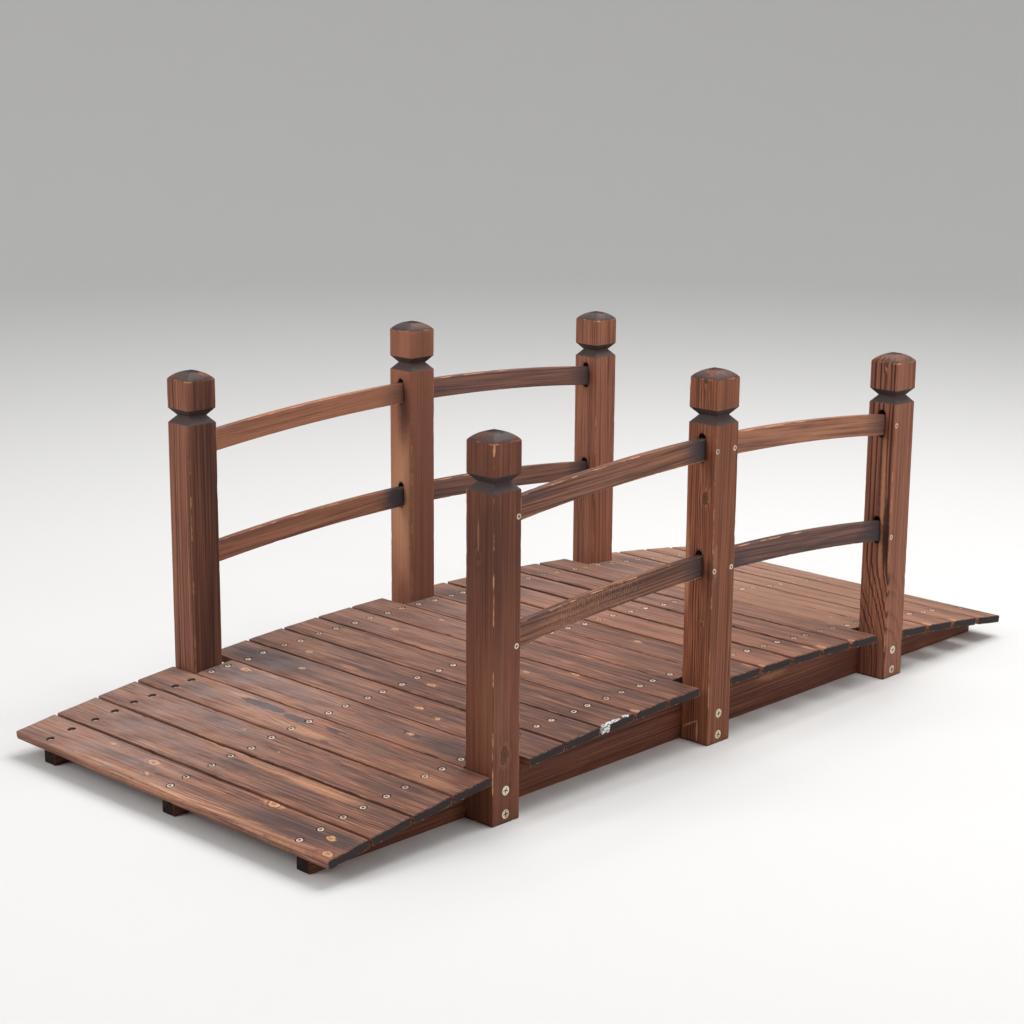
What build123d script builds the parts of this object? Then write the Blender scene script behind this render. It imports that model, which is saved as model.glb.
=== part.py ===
from build123d import *
from math import asin, degrees, sin, sqrt
import os

# An arched wooden garden footbridge: a boarded deck on three arched bearers, with three
# posts and two pairs of arched rails down each side.
#
# Sizes are in millimetres. X runs along the bridge from the near end to the far end, Y runs
# across it from the right side to the left side, and Z is up. The origin is on the ground,
# under the middle of the deck.

# Deck
deck_width = 661.0            # length of a full plank, flush with the outer faces of the posts
crown_height = 92.0           # ground to the upper face of the deck at its middle
deck_radius = 5000.0          # curve of the upper face
plank_width = 67.0
plank_thickness = 12.0
plank_edge_round = 1.5        # all four long edges
plank_gap = 2.2               # plank to a post that it stands against, or to a short plank
near_plank_gap = 3.5          # between full planks in the near half
ramp_planks = 4               # full planks between each end of the deck and the nearest posts
bay_planks = 5                # full planks between two short planks
short_plank_clearance = 1.0   # each end of a short plank to the post beside it

# Bearers
bearer_thickness = 25.0
bearer_setback = 13.0         # end of a bearer to the end of the deck
plank_seat = 0.1              # flat plank to the curved bearer under its middle

# Posts
post_size = 50.0              # square section
middle_post_height = 541.0    # ground to the top of the dome
post_edge_round = 1.0         # upright corners
dome_rise = 12.5              # eaves of the head to the top of its dome
eaves_round = 1.2             # upper edge of the head
head_height = 42.0            # upright faces of the head
groove_height = 21.5          # mouth of the groove that forms the neck
groove_depth = 9.6

# Rails
rail_height = 32.0
rail_thickness = 11.0
rail_edge_chamfer = 1.2       # long edges
rail_radius = 3550.0          # curve of the upper edge
upper_rail_drop = 96.0        # top of a post to the upper edge of the upper rails
rail_spacing = 167.5          # upper edge of the upper rails to that of the lower rails
rail_tenon = 16.0             # length of the rail's end inside a post
slot_side_gap = 1.0           # each face of the rail to the side of its slot
slot_end_gap = 1.0            # end of the rail to the bottom of its slot
slot_headroom = 7.0           # upper edge of the rail to the top of its slot
rail_seat = 0.2               # chamfered edges of the rail to the round bottom of its slot

# The planks of the near bay, with the short plank at each end of it, set how far apart the
# posts stand. The far bay has one short plank, so its full planks lie further apart, and the
# far ramp is laid like it. That makes the far ramp longer than the near one, so the middle
# posts stand a little nearer to the near end.
post_spacing = (
    (bay_planks + 2) * plank_width + (bay_planks - 1) * near_plank_gap + 2 * plank_gap - post_size
)
far_plank_gap = (post_spacing - (bay_planks + 1) * plank_width - 2 * plank_gap) / (bay_planks - 1)
middle_post_x = (ramp_planks - 1) * (near_plank_gap - far_plank_gap) / 2
post_places = {
    "near": middle_post_x - post_spacing,
    "middle": middle_post_x,
    "far": middle_post_x + post_spacing,
}
sides = {"right": -1, "left": 1}
bays = {"near": ("near", "middle"), "far": ("middle", "far")}
upper_rail_top = middle_post_height - upper_rail_drop
rail_tops = {"upper": upper_rail_top, "lower": upper_rail_top - rail_spacing}

half_post = post_size / 2
post_y = deck_width / 2 - half_post
bearer_outer_y = deck_width / 2 - post_size
bearer_radius = deck_radius - plank_thickness - plank_seat
arch_centre_height = crown_height - deck_radius

os.makedirs("parts", exist_ok=True)


def arch_height(radius, distance, centre_height):
    """Height of a circular arch at a level distance from its middle."""
    return centre_height + sqrt(radius**2 - distance**2)


# Planks are placed by their distance along the curve of the deck's upper face.
def along_deck(x):
    return deck_radius * asin(x / deck_radius)


def place_on_deck(distance):
    return deck_radius * sin(distance / deck_radius)


def make_plank(start, end, length):
    """A flat plank that lies square to the arch, between two distances along it."""
    tilt = (start + end) / 2 / deck_radius
    plank = Box(end - start, length, plank_thickness, align=(Align.CENTER, Align.CENTER, Align.MAX))
    plank = fillet(plank.edges().filter_by(Axis.Y), plank_edge_round)
    return Pos(0, 0, arch_centre_height) * Rot(0, degrees(tilt), 0) * Pos(0, 0, deck_radius) * plank


def full_planks(start, end, count):
    """A row of full planks, spread evenly between two distances."""
    step = (end - start - plank_width) / (count - 1)
    places = [start + number * step for number in range(count)]
    return [make_plank(place, place + plank_width, deck_width) for place in places]


short_plank_length = 2 * (bearer_outer_y - short_plank_clearance)


def short_plank(start):
    """The plank that fits between the two posts of a pair."""
    return make_plank(start, start + plank_width, short_plank_length)


# Each pair of posts has one short plank beside it. Before the near posts and behind the
# other two pairs, the next full plank stands against the posts.
near_front = along_deck(post_places["near"] - half_post) - plank_gap
middle_back = along_deck(post_places["middle"] + half_post) + plank_gap
far_back = along_deck(post_places["far"] + half_post) + plank_gap
near_short = near_front + plank_gap
middle_short = middle_back - plank_gap - plank_width
far_short = far_back - plank_gap - plank_width
near_end = near_front - ramp_planks * plank_width - (ramp_planks - 1) * near_plank_gap
far_end = far_back + ramp_planks * plank_width + (ramp_planks - 1) * far_plank_gap

planks = full_planks(near_end, near_front, ramp_planks)
planks += [short_plank(near_short)]
planks += full_planks(near_short + plank_width + plank_gap, middle_short - plank_gap, bay_planks)
planks += [short_plank(middle_short)]
planks += full_planks(middle_back, far_short - plank_gap, bay_planks)
planks += [short_plank(far_short)]
planks += full_planks(far_back, far_end, ramp_planks)

for number, plank in enumerate(planks, start=1):
    export_step(plank, f"parts/deck_plank_{number:02d}.step")


# The three bearers are boards on edge, flat underneath and sawn to the arch on top.
def make_bearer(outer_y):
    start = place_on_deck(near_end) + bearer_setback
    end = place_on_deck(far_end) - bearer_setback
    places = (start, (start + end) / 2, end)
    crest = [(x, arch_height(bearer_radius, x, arch_centre_height)) for x in places]
    sawn_edge = ThreePointArc(*crest)
    other_edges = Polyline(crest[-1], (end, 0), (start, 0), crest[0])
    side = Plane.XZ * make_face([sawn_edge, other_edges])
    return Pos(0, outer_y, 0) * extrude(side, bearer_thickness)


bearers = {
    "right": make_bearer(bearer_thickness - bearer_outer_y),
    "middle": make_bearer(bearer_thickness / 2),
    "left": make_bearer(bearer_outer_y),
}
for name, bearer in bearers.items():
    export_step(bearer, f"parts/bearer_{name}.step")


# Rails are sawn to one long arch over the whole bridge, with upright ends in the posts.
def rail_edge_height(rail, x, below=0.0):
    """Height of a rail at the place x, at a distance below its upper edge."""
    centre_height = rail_tops[rail] - rail_radius
    return arch_height(rail_radius - below, x - middle_post_x, centre_height)


def make_rail(rail, bay, side):
    """A board sawn to the arch on both edges and upright where it ends in the posts."""
    first, last = bays[bay]
    start = post_places[first] + half_post - rail_tenon
    end = post_places[last] - half_post + rail_tenon
    places = (start, (start + end) / 2, end)
    upper = [(x, rail_edge_height(rail, x)) for x in places]
    lower = [(x, rail_edge_height(rail, x, rail_height)) for x in reversed(places)]
    outline = [
        ThreePointArc(*upper),
        Line(upper[-1], lower[0]),
        ThreePointArc(*lower),
        Line(lower[-1], upper[0]),
    ]
    board = extrude(Plane.XZ * make_face(outline), rail_thickness / 2, both=True)
    board = chamfer(board.edges().filter_by(GeomType.CIRCLE), rail_edge_chamfer)
    return Pos(0, sides[side] * post_y, 0) * board


for side in sides:
    for bay in bays:
        for rail in rail_tops:
            export_step(make_rail(rail, bay, side), f"parts/{rail}_rail_{bay}_{side}.step")


# A post is moulded to one outline across both pairs of faces, which gives it a square neck
# and a domed head with four hips.
def post_outline(height):
    eaves = height - dome_rise
    head_foot = eaves - head_height
    shoulder = head_foot - groove_height
    neck = half_post - groove_depth
    neck_height = (head_foot + shoulder) / 2
    dome = ThreePointArc((-half_post, eaves), (0, height), (half_post, eaves))
    trunk = Polyline(
        (half_post, eaves),
        (half_post, head_foot),
        (neck, neck_height),
        (half_post, shoulder),
        (half_post, 0),
        (-half_post, 0),
        (-half_post, shoulder),
        (-neck, neck_height),
        (-half_post, head_foot),
        (-half_post, eaves),
    )
    outline = make_face([dome, trunk])
    eaves_corners = [corner for corner in outline.vertices() if abs(corner.Y - eaves) < 0.001]
    return fillet(eaves_corners, eaves_round)


# A slot for a rail has a round top and a round bottom. The rail sits down in it, with its
# chamfered lower edges just clear of the round bottom and a gap over its upper edge.
slot_width = rail_thickness + 2 * slot_side_gap
slot_depth = rail_tenon + slot_end_gap
seat_reach = slot_width / 2 - rail_seat
seat_drop = min(
    sqrt(seat_reach**2 - (rail_thickness / 2) ** 2) + rail_edge_chamfer,
    sqrt(seat_reach**2 - (rail_thickness / 2 - rail_edge_chamfer) ** 2),
)


def rail_slot(rail, post, facing):
    """The slot for a rail in the face of a post that looks along X, by +1 or -1."""
    face_x = post_places[post] + facing * half_post
    tenon_x = face_x - facing * rail_tenon
    rail_top = max(rail_edge_height(rail, x) for x in (face_x, tenon_x))
    rail_foot = min(rail_edge_height(rail, x, rail_height) for x in (face_x, tenon_x))
    slot_foot = rail_foot + seat_drop - slot_width / 2
    slot_top = rail_top + slot_headroom
    mouth = Plane((face_x, 0, (slot_foot + slot_top) / 2), x_dir=(0, 0, 1), z_dir=(-facing, 0, 0))
    return extrude(mouth * SlotOverall(slot_top - slot_foot, slot_width), slot_depth)


def make_post(post, side):
    height = rail_edge_height("upper", post_places[post]) + upper_rail_drop
    outline = post_outline(height)
    along = extrude(Plane.XZ * outline, half_post, both=True)
    across = extrude(Plane.YZ * outline, half_post, both=True)
    rounded = extrude(RectangleRounded(post_size, post_size, post_edge_round), height)
    body = Pos(post_places[post], 0, 0) * (along & across & rounded)
    for first, last in bays.values():
        for rail in rail_tops:
            if post == first:
                body -= rail_slot(rail, post, 1)
            if post == last:
                body -= rail_slot(rail, post, -1)
    return Pos(0, sides[side] * post_y, 0) * body


for side in sides:
    for post in post_places:
        export_step(make_post(post, side), f"parts/post_{post}_{side}.step")
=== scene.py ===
from math import atan2, cos, pi, radians, sin, sqrt
from random import Random

import bmesh
import bpy
import numpy as np
from mathutils import Euler, Matrix, Vector, noise


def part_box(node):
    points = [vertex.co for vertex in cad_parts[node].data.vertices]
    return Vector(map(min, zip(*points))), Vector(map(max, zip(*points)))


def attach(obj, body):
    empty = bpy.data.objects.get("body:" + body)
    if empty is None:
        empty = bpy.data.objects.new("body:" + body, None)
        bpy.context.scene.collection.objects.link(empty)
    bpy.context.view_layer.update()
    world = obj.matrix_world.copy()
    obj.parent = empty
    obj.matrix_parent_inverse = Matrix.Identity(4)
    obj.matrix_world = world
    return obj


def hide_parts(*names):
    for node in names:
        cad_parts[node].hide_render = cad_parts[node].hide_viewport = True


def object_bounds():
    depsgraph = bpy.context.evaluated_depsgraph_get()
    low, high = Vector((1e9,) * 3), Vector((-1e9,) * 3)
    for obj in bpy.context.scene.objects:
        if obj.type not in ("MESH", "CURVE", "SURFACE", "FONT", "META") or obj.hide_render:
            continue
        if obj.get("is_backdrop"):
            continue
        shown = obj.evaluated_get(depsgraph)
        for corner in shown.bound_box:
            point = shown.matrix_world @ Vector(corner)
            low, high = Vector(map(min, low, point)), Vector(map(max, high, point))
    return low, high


# The looks of an arched wooden garden footbridge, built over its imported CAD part.
# Everything is in metres, in the part's frame: X runs along the bridge, Y across it, Z up.

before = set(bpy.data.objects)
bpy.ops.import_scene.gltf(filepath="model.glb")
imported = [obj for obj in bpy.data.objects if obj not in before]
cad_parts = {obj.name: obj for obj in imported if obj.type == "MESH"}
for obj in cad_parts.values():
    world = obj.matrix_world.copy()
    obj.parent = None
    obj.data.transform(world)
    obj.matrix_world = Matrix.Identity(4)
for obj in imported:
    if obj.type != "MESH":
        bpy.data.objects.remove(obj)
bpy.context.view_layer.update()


# Bearers
# Three spruce boards on edge carry the deck, one under each row of its screws. Each is flat
# underneath, where it stands on the ground, and sawn to the deck's arch on top. Like all of the
# bridge they were scorched, brushed along the grain and stained reddish brown.

def wire(tree, kind, inputs=None, **settings):
    """Adds a node, a shader node if its kind names no other, and fills or joins its inputs."""
    node = tree.nodes.new(kind if "Node" in kind else "ShaderNode" + kind)
    for name, value in settings.items():
        setattr(node, name, value)
    for key, value in (inputs or {}).items():
        if isinstance(value, bpy.types.NodeSocket):
            tree.links.new(value, node.inputs[key])
        else:
            node.inputs[key].default_value = value
    return node


def calc(tree, operation, *terms):
    """One step of arithmetic on a value that changes over the wood."""
    return wire(tree, "Math", dict(enumerate(terms)), operation=operation).outputs[0]


def move(tree, operation, *terms):
    """One step of arithmetic on a place in the wood."""
    node = wire(tree, "VectorMath", dict(enumerate(terms)), operation=operation)
    return node.outputs["Value" if operation in ("LENGTH", "DOT_PRODUCT") else "Vector"]


def split(tree, place):
    """The three coordinates of a place in the wood."""
    return wire(tree, "SeparateXYZ", {0: place}).outputs


def fade(tree, value, none, full):
    """A mask that goes smoothly from 0, where the value is none, to 1, where it is full."""
    inputs = {"Value": value, "From Min": none, "From Max": full}
    return wire(tree, "MapRange", inputs, interpolation_type="SMOOTHSTEP").outputs[0]


def blotches(tree, place, stretch, detail=2.0, roughness=0.5):
    """Noise from 0 to 1, with so many blotches to the metre along, across and through the wood."""
    inputs = {"Vector": move(tree, "MULTIPLY", place, stretch), "Scale": 1.0}
    inputs.update({"Detail": detail, "Roughness": roughness})
    return wire(tree, "TexNoise", inputs).outputs[0]


def coat(tree, share, under, over):
    """One colour over another where the share is 1."""
    inputs = {0: share, 6: under, 7: over}
    return wire(tree, "Mix", inputs, data_type="RGBA").outputs[2]


def start_group(name, inputs, outputs):
    """Opens a node group, and returns it with what it is given and what it gives back."""
    tree = bpy.data.node_groups.new(name, "ShaderNodeTree")
    kinds = {1: "NodeSocketFloat", 3: "NodeSocketVector", 4: "NodeSocketColor"}
    for label, value in inputs.items():
        kind = kinds[len(value) if isinstance(value, tuple) else 1]
        tree.interface.new_socket(label, in_out="INPUT", socket_type=kind).default_value = value
    for label, size in outputs.items():
        tree.interface.new_socket(label, in_out="OUTPUT", socket_type=kinds[size])
    given = tree.nodes.new("NodeGroupInput").outputs
    result = tree.nodes.new("NodeGroupOutput").inputs
    return tree, given, result


def place_group(tree, group, inputs):
    """Sets a node group into a material or another group."""
    return wire(tree, "Group", inputs, node_tree=group).outputs


def start_material(name):
    """A new material, its tree of nodes and its shader."""
    material = bpy.data.materials.new(name)
    material.use_nodes = True
    return material, material.node_tree, material.node_tree.nodes["Principled BSDF"]


def add_object(name, data):
    """Puts a mesh, a lamp or a camera into the scene."""
    made = bpy.data.objects.new(name, data)
    bpy.context.scene.collection.objects.link(made)
    return made


def build_growth_rings():
    """The grain: rings round the heart of the log, which lies along X, and the fibres between."""
    tree, given, result = start_group(
        "growth_rings",
        {
            "Log": (0.0, 0.0, 0.0),
            "Ring width": 0.004,
            "Wander": 0.006,
            "Bulge": 0.0,
            "Weave": (4.0, 290.0, 290.0),
        },
        {"Latewood": 1, "Fibre": 1, "Streak": 1, "Scratch": 1},
    )
    drift = calc(tree, "SUBTRACT", blotches(tree, given["Log"], (2.5, 14, 14)), 0.5)
    shiver = calc(tree, "SUBTRACT", blotches(tree, given["Log"], (22, 90, 90)), 0.5)
    across = move(tree, "MULTIPLY", given["Log"], (0, 1, 1))
    radius = calc(tree, "MULTIPLY_ADD", drift, given["Wander"], move(tree, "LENGTH", across))
    radius = calc(tree, "MULTIPLY_ADD", shiver, 0.0016, radius)
    radius = calc(tree, "ADD", radius, given["Bulge"])
    count = calc(tree, "DIVIDE", radius, given["Ring width"])
    uneven = wire(tree, "TexNoise", {"W": count, "Scale": 0.45}, noise_dimensions="1D")
    count = calc(tree, "MULTIPLY_ADD", uneven.outputs[0], 2.2, count)
    part = calc(tree, "FRACT", count)
    growth = calc(tree, "MULTIPLY", fade(tree, part, 0.50, 0.88), fade(tree, part, 1.0, 0.9))
    year = wire(tree, "TexWhiteNoise", {"W": calc(tree, "FLOOR", count)}, noise_dimensions="1D")
    strength = calc(tree, "MULTIPLY_ADD", year.outputs[0], 0.9, 0.2)
    tree.links.new(calc(tree, "MULTIPLY", growth, strength), result["Latewood"])
    tree.links.new(blotches(tree, given["Log"], given["Weave"], 0.0), result["Fibre"])
    tree.links.new(blotches(tree, given["Log"], (3, 48, 48), 1.5), result["Streak"])
    tree.links.new(blotches(tree, given["Log"], (16, 520, 520), 1.0), result["Scratch"])
    return tree


# How far off a knot is, in its own radii, where a board has none.
NO_KNOT = 9.0


def build_knot():
    """How far a place is from the nearest knot, counted in that knot's own radius."""
    tree, given, result = start_group(
        "knot",
        {
            "Board": (0.0, 0.0, 0.0),
            "Nearest": NO_KNOT,
            "Place": (0.0, 0.0, 0.0),
            "Radius": 0.005,
        },
        {"Nearest": 1},
    )
    away = move(tree, "SUBTRACT", given["Board"], given["Place"])
    away = move(tree, "MULTIPLY", away, (0.62, 1, 1))
    radii = calc(tree, "DIVIDE", move(tree, "LENGTH", away), given["Radius"])
    tree.links.new(calc(tree, "MINIMUM", radii, given["Nearest"]), result["Nearest"])
    return tree


def build_patch():
    """A long soft-edged patch on a board, added to the patches before it."""
    tree, given, result = start_group(
        "patch",
        {
            "Board": (0.0, 0.0, 0.0),
            "Before": 0.0,
            "Place": (0.0, 0.0, 0.0),
            "Reach": (0.04, 0.01, 0.01),
            "Strength": 0.5,
            "Softness": 0.6,
        },
        {"Patches": 1},
    )
    away = move(tree, "SUBTRACT", given["Board"], given["Place"])
    away = move(tree, "LENGTH", move(tree, "DIVIDE", away, given["Reach"]))
    inner = calc(tree, "SUBTRACT", 1.1, given["Softness"])
    mask = calc(tree, "MULTIPLY", fade(tree, away, 1.1, inner), given["Strength"])
    tree.links.new(calc(tree, "MAXIMUM", mask, given["Before"]), result["Patches"])
    return tree


def build_stroke():
    """A thin line between two places on a board, drawn with the lines before it."""
    tree, given, result = start_group(
        "stroke",
        {
            "Board": (0.0, 0.0, 0.0),
            "Before": 0.0,
            "Start": (0.0, 0.0, 0.0),
            "Run": (0.05, 0.0, 0.0),
            "Width": 0.001,
            "Strength": 1.0,
        },
        {"Strokes": 1},
    )
    away = move(tree, "SUBTRACT", given["Board"], given["Start"])
    along = move(tree, "DOT_PRODUCT", away, given["Run"])
    whole = move(tree, "DOT_PRODUCT", given["Run"], given["Run"])
    divide = wire(tree, "Math", {0: along, 1: whole}, operation="DIVIDE", use_clamp=True)
    share = divide.outputs[0]
    foot = wire(tree, "VectorMath", {0: given["Run"], "Scale": share}, operation="SCALE")
    away = move(tree, "MULTIPLY", move(tree, "SUBTRACT", away, foot.outputs["Vector"]), (1, 1, 0.1))
    from_middle = calc(tree, "ABSOLUTE", calc(tree, "SUBTRACT", share, 0.5))
    width = calc(tree, "MULTIPLY", given["Width"], calc(tree, "SUBTRACT", 1.0, from_middle))
    off = calc(tree, "DIVIDE", move(tree, "LENGTH", away), width)
    mask = calc(tree, "MULTIPLY", fade(tree, off, 1.0, 0.5), given["Strength"])
    tree.links.new(calc(tree, "MAXIMUM", mask, given["Before"]), result["Strokes"])
    return tree


def build_arris():
    """How far a place on a board is from its nearest edge, from its nearest end, and inside it."""
    tree, given, result = start_group(
        "arris",
        {"Board": (0.0, 0.0, 0.0), "Half size": (0.5, 0.03, 0.006)},
        {"Edge": 1, "End": 1, "Inside": 1},
    )
    inside = move(tree, "SUBTRACT", given["Half size"], move(tree, "ABSOLUTE", given["Board"]))
    end, side, face = split(tree, inside)
    nearer = calc(tree, "MINIMUM", side, face)
    further = calc(tree, "MAXIMUM", side, face)
    edge = calc(tree, "MAXIMUM", nearer, calc(tree, "MINIMUM", end, further))
    tree.links.new(edge, result["Edge"])
    tree.links.new(end, result["End"])
    tree.links.new(nearer, result["Inside"])
    return tree


growth_rings = build_growth_rings()
knot = build_knot()
patch = build_patch()
stroke = build_stroke()
arris = build_arris()

# The colours of the wood and of what fire, wear and stain made of it, where a board has no others.
LIGHT_WOOD = (0.300, 0.104, 0.054, 1.0)
DARK_WOOD = (0.078, 0.027, 0.019, 1.0)
CHARRED = (0.040, 0.033, 0.035, 1.0)
RUBBED = (0.580, 0.290, 0.155, 1.0)
SLATE = (0.082, 0.063, 0.061, 1.0)
# Near-black char, darkened further as painted shade; it also paints the shade in pits and slots.
SOOT_AND_SHADE = (0.024, 0.013, 0.011, 1.0)
KNOT = (0.105, 0.038, 0.024, 1.0)


def build_scorched_stain():
    """Spruce that was scorched, brushed and stained: its colour, its gloss and its relief."""
    tree, given, result = start_group(
        "scorched_stain",
        {
            "Board": (0.0, 0.0, 0.0),
            "Log": (0.0, 0.0, 0.0),
            "Nearest knot": NO_KNOT,
            "Edge": 0.1,
            "End": 0.1,
            "Ring width": 0.004,
            "Wander": 0.006,
            "Tone": 0.0,
            "Grain": 0.45,
            "Fibre": 1.8,
            "Weave": (4.0, 290.0, 290.0),
            "Streaks": 0.5,
            "Specks": 0.35,
            "Brushed": 0.3,
            "Scorch and shade": 0.0,
            "Char": 0.0,
            "Bare": 0.0,
            "Mottle": 0.5,
            "Sway": 0.0,
            "Rub": 1.0,
            "End burn": 1.0,
            "Inside": 0.0,
            "Light wood": LIGHT_WOOD,
            "Dark wood": DARK_WOOD,
            "Charred": CHARRED,
            "Slate": SLATE,
            "Rubbed": RUBBED,
            "Soot": SOOT_AND_SHADE,
            "Knot": KNOT,
        },
        {"Colour": 4, "Roughness": 1, "Relief": 1},
    )
    near = given["Nearest knot"]
    pull = calc(tree, "EXPONENT", calc(tree, "MULTIPLY", calc(tree, "POWER", near, 2.0), -0.35))
    rings = place_group(tree, growth_rings, {
        "Log": given["Log"],
        "Ring width": given["Ring width"],
        "Wander": given["Wander"],
        "Bulge": calc(tree, "MULTIPLY_ADD", pull, 0.008, given["Sway"]),
        "Weave": given["Weave"],
    })
    late, fibre, streak = rings["Latewood"], rings["Fibre"], rings["Streak"]
    swirl = fade(tree, near, 5.0, 1.2)
    grain = calc(tree, "MULTIPLY_ADD", swirl, 0.35, given["Grain"])
    share = calc(tree, "MULTIPLY_ADD", late, grain, 0.28)
    fine = calc(tree, "SUBTRACT", fibre, 0.5)
    share = calc(tree, "MULTIPLY_ADD", fine, given["Fibre"], share)
    share = calc(tree, "MULTIPLY_ADD", calc(tree, "SUBTRACT", streak, 0.5), given["Streaks"], share)
    speck = rings["Scratch"]
    share = calc(tree, "MULTIPLY_ADD", calc(tree, "SUBTRACT", speck, 0.5), given["Specks"], share)
    scratches = calc(tree, "MULTIPLY", fade(tree, speck, 0.62, 0.70), given["Specks"])
    share = calc(tree, "MULTIPLY_ADD", scratches, 0.6, share)
    share = calc(tree, "ADD", share, given["Tone"])
    share = calc(tree, "MINIMUM", calc(tree, "MAXIMUM", share, 0.0), 1.0)
    colour = coat(tree, share, given["Light wood"], given["Dark wood"])

    # Where the scorched skin was brushed off, the wood shows orange; smoke left it grey elsewhere.
    broad = blotches(tree, given["Board"], (5, 38, 38), 3.0, 0.55)
    brushed = calc(tree, "MULTIPLY", fade(tree, broad, 0.50, 0.74), given["Brushed"])
    halo = calc(tree, "MULTIPLY", fade(tree, near, 2.4, 1.0), 0.25)
    brushed = calc(tree, "MAXIMUM", brushed, halo)
    brushed = calc(tree, "MAXIMUM", brushed, given["Bare"])
    lines = calc(tree, "SUBTRACT", 1.0, calc(tree, "MULTIPLY", share, 0.6))
    brushed = calc(tree, "MULTIPLY", brushed, lines)
    flecks = calc(tree, "MULTIPLY", fade(tree, speck, 0.37, 0.28), 0.5)
    flecks = calc(tree, "MULTIPLY", flecks, given["Specks"])
    brushed = calc(tree, "MAXIMUM", brushed, flecks)
    colour = coat(tree, brushed, colour, given["Rubbed"])
    # Grey smoke over the wood; the scorch input also lays painted shade over whole post faces.
    smoke = calc(tree, "MULTIPLY", fade(tree, broad, 0.5, 0.27), given["Mottle"])
    broken = calc(tree, "MULTIPLY_ADD", calc(tree, "ADD", fibre, streak), 0.6, 0.4)
    smoke = calc(tree, "MULTIPLY", calc(tree, "MAXIMUM", smoke, given["Scorch and shade"]), broken)
    smoke = calc(tree, "MINIMUM", smoke, 1.0)
    colour = coat(tree, smoke, colour, given["Charred"])
    colour = coat(tree, calc(tree, "MINIMUM", given["Char"], 1.0), colour, given["Slate"])
    core = calc(tree, "MULTIPLY", fade(tree, near, 1.15, 0.8), 0.8)
    colour = coat(tree, core, colour, given["Knot"])
    rim = fade(tree, calc(tree, "ABSOLUTE", calc(tree, "SUBTRACT", near, 1.0)), 0.28, 0.05)
    dark_lines = calc(tree, "MAXIMUM", rim, fade(tree, near, 0.5, 0.2))
    colour = coat(tree, calc(tree, "MULTIPLY", dark_lines, 0.7), colour, given["Dark wood"])

    scuffs = blotches(tree, given["Board"], (22, 90, 90), 3.0, 0.65)
    edge = fade(tree, given["Edge"], 0.0018, 0.0007)
    rub = calc(tree, "MULTIPLY", edge, fade(tree, scuffs, 0.50, 0.66))
    # Charred ends, painted darker than the char itself as shade.
    burn = calc(tree, "MULTIPLY_ADD", scuffs, -0.006, given["End"])
    burn = calc(tree, "MULTIPLY", fade(tree, burn, 0.0005, -0.0028), given["End burn"])
    burn = calc(tree, "MULTIPLY", burn, calc(tree, "MULTIPLY_ADD", streak, 0.7, 0.55))
    burn = calc(tree, "MULTIPLY", burn, fade(tree, given["Bare"], 1.0, 0.8))
    # Painted shade: places inside the board, in screw pits and slots, go near-black.
    pit = fade(tree, given["Inside"], 0.0007, 0.0013)
    black = calc(tree, "MINIMUM", calc(tree, "MAXIMUM", burn, pit), 1.0)
    colour = coat(tree, black, colour, given["Soot"])
    colour = coat(tree, calc(tree, "MULTIPLY", rub, given["Rub"]), colour, given["Rubbed"])

    matt = calc(tree, "MULTIPLY_ADD", fibre, 0.25, 0.40)
    matt = calc(tree, "MULTIPLY_ADD", calc(tree, "MAXIMUM", black, smoke), 0.35, matt)
    relief = calc(tree, "MULTIPLY_ADD", fibre, 0.5, calc(tree, "MULTIPLY", late, 0.55))
    relief = calc(tree, "SUBTRACT", relief, calc(tree, "MULTIPLY", dark_lines, 0.4))
    tree.links.new(colour, result["Colour"])
    tree.links.new(matt, result["Roughness"])
    tree.links.new(relief, result["Relief"])
    return tree


scorched_stain = build_scorched_stain()


# Patches thinner than this have clean outlines.
THIN_PATCH = 0.0025


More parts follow.
